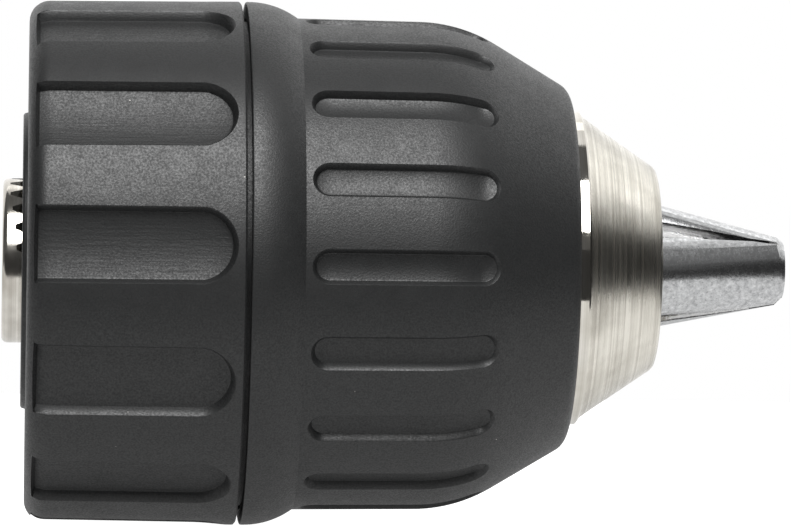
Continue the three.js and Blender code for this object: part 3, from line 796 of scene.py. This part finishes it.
SLOT_COUNT = 18
SLOT_AZIMUTH = 269.5
SLOT_HALF = 1.325
SLOT_DEPTH = 0.72
SLOT_REAR = SHOULDER_END + 0.6
SLOT_FRONT = SLOT_REAR + 14.9
slot = recess_cutter(SLOT_HALF, rear=SLOT_REAR, front=SLOT_FRONT, depth=SLOT_DEPTH, lip=0.1, draft=0.2,
                     fillet=0.15, level=SLOT_FRONT - 1.15, radius_at=front_radius)
cut_round(front_sleeve, slot, SLOT_COUNT, SLOT_AZIMUTH)
soften(front_sleeve, 30)
front_nylon = black_nylon("black_nylon_front", 6800, 0.46)
fitted(front_sleeve, "sleeve", "black_nylon", front_nylon, "front_sleeve")

# ---------------------------------------------------------------- nose piece
# A turned, nickel-plated steel ring pressed on the front of the body. It keeps the front sleeve from
# sliding off; a narrow polished land stands in front of the sleeve and a cone runs to the jaws.

LAND_FRONT = NOSE_REAR + 0.95
LAND_RADIUS = 13.0
CONE_REAR_RADIUS = 12.6
CONE_FRONT_RADIUS = 8.5
NOSE_BORE = NOSE_BOSS_RADIUS + 0.1
NOSE_SEAT = SPIGOT_RADIUS + 0.1
NOSE_STEP = NOSE_REAR + 3.7
nose_outline = [(NOSE_REAR, LAND_RADIUS - 0.15), (NOSE_REAR + 0.12, LAND_RADIUS)]
nose_outline += [(LAND_FRONT - 0.15, LAND_RADIUS), (LAND_FRONT, LAND_RADIUS - 0.15)]
nose_outline += [(LAND_FRONT + 0.03, CONE_REAR_RADIUS + 0.02)]
for i in range(1, 9):
    share = i / 8
    station = LAND_FRONT + (NOSE_FRONT - 0.28 - LAND_FRONT) * share
    nose_outline.append((station, CONE_REAR_RADIUS - (CONE_REAR_RADIUS - CONE_FRONT_RADIUS) * share))
nose_outline += [(NOSE_FRONT - 0.06, CONE_FRONT_RADIUS - 0.22), (NOSE_FRONT, CONE_FRONT_RADIUS - 0.4)]
nose_outline += [(NOSE_FRONT, NOSE_BORE + 0.15), (NOSE_FRONT - 0.15, NOSE_BORE), (NOSE_STEP, NOSE_BORE)]
nose_outline += [(NOSE_STEP, NOSE_SEAT), (NOSE_REAR + 0.1, NOSE_SEAT), (NOSE_REAR, NOSE_SEAT + 0.1)]
nose = turn_on_lathe("nose_ring", nose_outline, 256)
soften(nose, 28)
nose_nickel = turned_metal("turned_nickel", (0.46, 0.435, 0.38), (0.84, 0.81, 0.73), rough=0.225, cone=1.45,
                           rings=7000, depth=0.000011)
polished_land = turned_metal("polished_land", (0.6, 0.57, 0.5), (0.86, 0.83, 0.77), rough=0.06, cone=1.0,
                             rings=9000, depth=0.000002, haze=0.05)
fitted(nose, "body", "turned_nickel", nose_nickel, "nose_piece")
nose.data.materials.append(polished_land)
for face in nose.data.polygons:
    if face.center.x < (LAND_FRONT + 0.02) * MM:
        face.material_index = 1

# ---------------------------------------------------------------- jaws
# Three ground steel pins that slide in the body's slanted bores. Each has two wedge flanks, a narrow
# gripping face, and teeth on its outer side where the nut drives it.

JAW_SPAN = 36
JAW_GAP = 0.3
GRIP_HEIGHT = 0.35
FLANK_RELIEF = math.radians(6.3)
FLANK_LAND = 2.8
GROUND_EDGE = 0.14
TIP_CHAMFER = 0.7
OVERSIZE = 60
TOOTH_WIDTH = 1.0
TOOTH_DEPTH = 1.25
TOOTH_FLARE = 0.28
NUT_PITCH = 1.6
NUT_THREAD_START = NUT_REAR + 0.7
jaw_steel = ground_steel("jaw_steel", (0.36, 0.365, 0.37), (0.78, 0.785, 0.79), 0.22, 2600)
# The flank faces get a near-white, almost mirror copy of the jaw steel. This is a painted highlight that
# makes the narrow, shaded gap between the jaws read white.
flank_painted_highlight_steel = ground_steel("flank_painted_highlight", (0.84, 0.84, 0.84), (0.93, 0.93, 0.93), 0.07, 1800)


def block_cutter(size, matrix):
    """A box with its top face on the XY plane, then placed."""
    select_only()
    bpy.ops.mesh.primitive_cube_add(size=1)
    block = bpy.context.object
    block.data.transform(Matrix.Translation((0, 0, -0.5)))
    block.data.transform(Matrix.Diagonal((size[0] * MM, size[1] * MM, size[2] * MM, 1)))
    block.data.transform(matrix)
    return block


def at(x, y, z):
    """A shift in millimetres."""
    return Matrix.Translation((x * MM, y * MM, z * MM))


def tooth_cutter(azimuth):
    """Grooves across the outer side, one nut pitch apart, in step with the nut at this azimuth."""
    bars = []
    phase = NUT_THREAD_START - NUT_PITCH * azimuth / 360
    first = math.ceil((TIP_X - JAW_SPAN - 1 - phase) / NUT_PITCH)
    last = math.floor((NOSE_FRONT - 1.4 - phase) / NUT_PITCH)
    for n in range(first, last + 1):
        station = phase + n * NUT_PITCH
        bar = block_cutter((TOOTH_WIDTH, 12, 2.4), at(station, 0, jaw_outer(station) - TOOTH_DEPTH + 2.4))
        for vertex in bar.data.vertices:
            if vertex.co.z > (jaw_outer(station) - 0.5) * MM:
                vertex.co.x += math.copysign(TOOTH_FLARE * MM, vertex.co.x - station * MM)
        bars.append(bar)
    select_only(*bars)
    bpy.ops.object.join()
    return bpy.context.object


for number, azimuth in enumerate(JAW_AZIMUTHS, start=1):
    length = JAW_SPAN / math.cos(JAW_ANGLE)
    select_only()
    bpy.ops.mesh.primitive_cylinder_add(vertices=96, radius=JAW_RADIUS * MM, depth=(length + 2) * MM)
    jaw = bpy.context.object
    jaw.name = f"jaw_pin_{number}"
    settle(jaw, jaw_place(0) @ at(1 - length / 2, 0, 0) @ Matrix.Rotation(math.pi / 2, 4, "Y"))
    cut_with(jaw, block_cutter((OVERSIZE, OVERSIZE, OVERSIZE), at(TIP_X + OVERSIZE / 2, 0, OVERSIZE / 2)))
    cut_with(jaw, block_cutter((200, OVERSIZE, OVERSIZE), at(TIP_X, 0, GRIP_HEIGHT)))
    for lean in (math.radians(30), math.radians(-30)):
        turn = Matrix.Rotation(lean, 4, "X")
        cut_with(jaw, block_cutter((200, OVERSIZE, OVERSIZE), turn @ at(TIP_X, 0, JAW_GAP / 2)))
        hinge = at(TIP_X - FLANK_LAND, 0, JAW_GAP / 2)
        hollow = hinge @ Matrix.Rotation(FLANK_RELIEF, 4, "Y") @ at(-6, 0, 0)
        cut_with(jaw, block_cutter((12, OVERSIZE, OVERSIZE), turn @ hollow))
    select_only(jaw)
    bevel = jaw.modifiers.new("ground_edges", "BEVEL")
    bevel.width = GROUND_EDGE * MM
    bevel.segments = 2
    bevel.limit_method = "ANGLE"
    bevel.angle_limit = math.radians(40)
    bpy.ops.object.modifier_apply(modifier=bevel.name)
    cut_with(jaw, tooth_cutter(azimuth))
    chamfer = [(TIP_X - TIP_CHAMFER, 2.95), (TIP_X + 0.05, 2.25), (TIP_X + 1, 2.25), (TIP_X + 1, 6)]
    chamfer += [(TIP_X - TIP_CHAMFER, 6)]
    cut_with(jaw, turn_on_lathe("tip_chamfer", chamfer, 96))
    flanks = [face.index for face in jaw.data.polygons
              if face.normal.z < -0.75 and abs(abs(face.normal.y) - 0.5) < 0.06]
    settle(jaw, Matrix.Rotation(-math.radians(azimuth), 4, "X"))
    soften(jaw, 30)
    fitted(jaw, f"jaw_{number}", "jaw_steel", jaw_steel, f"jaw_{number}")
    # The flank faces take the painted-highlight copy of the jaw steel.
    jaw.data.materials.append(flank_painted_highlight_steel)
    for index in flanks:
        jaw.data.polygons[index].material_index = 1

# ---------------------------------------------------------------- floor, light and camera
# A plain white table and soft boxes, as for a catalogue picture.

FLOOR_Z = cad_bounds[0][2] - 0.0001
select_only()
bpy.ops.mesh.primitive_plane_add(size=0.8)
floor = bpy.context.object
floor.name = "studio_floor"
settle(floor, Matrix.Translation((0.03, 0.05, FLOOR_Z)))
floor_white, nodes, links = new_material("floor_white")
surface = nodes["Principled BSDF"]
surface.inputs["Base Color"].default_value = (0.32, 0.32, 0.32, 1)
surface.inputs["Roughness"].default_value = 0.9
surface.inputs["Emission Color"].default_value = (1, 1, 1, 1)
path = nodes.new("ShaderNodeLightPath")
glow = remapped(nodes, links, path.outputs["Is Camera Ray"], 0.46, 1.0)
links.new(glow, surface.inputs["Emission Strength"])
floor.data.materials.append(floor_white)

CENTRE = Vector((32.4, 0, 0.1)) * MM

select_only()
bpy.ops.mesh.primitive_plane_add(size=1)
backdrop = bpy.context.object
backdrop.name = "studio_backdrop"
backdrop.data.transform(Matrix.Diagonal((2.0, 0.9, 1, 1)))
settle(backdrop, Matrix.Translation((0.05, 0.5, FLOOR_Z + 0.45)) @ Matrix.Rotation(math.pi / 2, 4, "X"))
backdrop_white, nodes, links = new_material("backdrop_white")
surface = nodes["Principled BSDF"]
surface.inputs["Base Color"].default_value = (0.5, 0.5, 0.5, 1)
surface.inputs["Roughness"].default_value = 0.9
surface.inputs["Emission Color"].default_value = (1, 1, 1, 1)
surface.inputs["Emission Strength"].default_value = 0.72
backdrop.data.materials.append(backdrop_white)
backdrop.visible_camera = False

# The backdrop is seen only in reflections, like two dark cards that stand in front of the chuck and
# beyond its nose. The cards give the bright metal its dark middle.
card_black, nodes, links = new_material("card_black")
nodes["Principled BSDF"].inputs["Base Color"].default_value = (0.01, 0.01, 0.01, 1)
CARDS = (("front_card", 0.5, 0.011, 0, (0.06, -0.055)), ("nose_card", 0.12, 0.024, 90, (0.125, 0.0)))
for name, length, top, turn, place in CARDS:
    select_only()
    bpy.ops.mesh.primitive_plane_add(size=1)
    card = bpy.context.object
    card.name = name
    card.data.transform(Matrix.Diagonal((length, top - FLOOR_Z, 1, 1)))
    stand = Matrix.Rotation(math.radians(turn), 4, "Z") @ Matrix.Rotation(math.pi / 2, 4, "X")
    settle(card, Matrix.Translation((*place, (top + FLOOR_Z) / 2)) @ stand)
    card.data.materials.append(card_black)
    card.visible_camera = False
    card.visible_diffuse = False
    card.visible_shadow = False


def soft_box(name, place, size, power):
    """A rectangular lamp aimed at the middle of the chuck; power is in watts."""
    select_only()
    bpy.ops.object.light_add(type="AREA", location=place)
    light = bpy.context.object
    light.name = name
    light.data.shape = "RECTANGLE"
    light.data.size, light.data.size_y = size
    light.data.energy = power
    light.rotation_euler = (CENTRE - Vector(place)).to_track_quat("-Z", "Y").to_euler()
    return light


soft_box("key_box", (0.0, -0.48, 0.5), (0.36, 0.5), 6.3)
soft_box("back_box", (0.25, 0.3, 0.6), (1.2, 0.5), 1.4)
soft_box("side_box", (0.72, 0.1, 0.5), (0.5, 0.5), 0.6)

world = bpy.data.worlds.new("studio")
bpy.context.scene.world = world
world.use_nodes = True
nodes, links = world.node_tree.nodes, world.node_tree.links
nodes.clear()
out = nodes.new("ShaderNodeOutputWorld")
seen = nodes.new("ShaderNodeBackground")
seen.inputs["Color"].default_value = (1, 1, 1, 1)
seen.inputs["Strength"].default_value = 1.0
lit = nodes.new("ShaderNodeBackground")
lit.inputs["Color"].default_value = (1, 1, 1, 1)
lit.inputs["Strength"].default_value = 0.1
path = nodes.new("ShaderNodeLightPath")
choice = nodes.new("ShaderNodeMixShader")
links.new(path.outputs["Is Camera Ray"], choice.inputs["Fac"])
links.new(lit.outputs["Background"], choice.inputs[1])
links.new(seen.outputs["Background"], choice.inputs[2])
links.new(choice.outputs["Shader"], out.inputs["Surface"])

# The camera looks square at the side, turned a little towards the spindle end.
DISTANCE = 0.47
LENS = 259
AWAY = math.radians(3.8)
ROLL = math.radians(0.72)
select_only()
bpy.ops.object.camera_add()
camera = bpy.context.object
camera.data.sensor_width = 36
camera.data.lens = LENS
camera.location = CENTRE + DISTANCE * Vector((-math.sin(AWAY), -math.cos(AWAY), 0))
look = (CENTRE - camera.location).to_track_quat("-Z", "Y")
camera.rotation_euler = (look @ Euler((0, 0, ROLL)).to_quaternion()).to_euler()
bpy.context.scene.camera = camera
bpy.context.scene.view_settings.view_transform = "Standard"
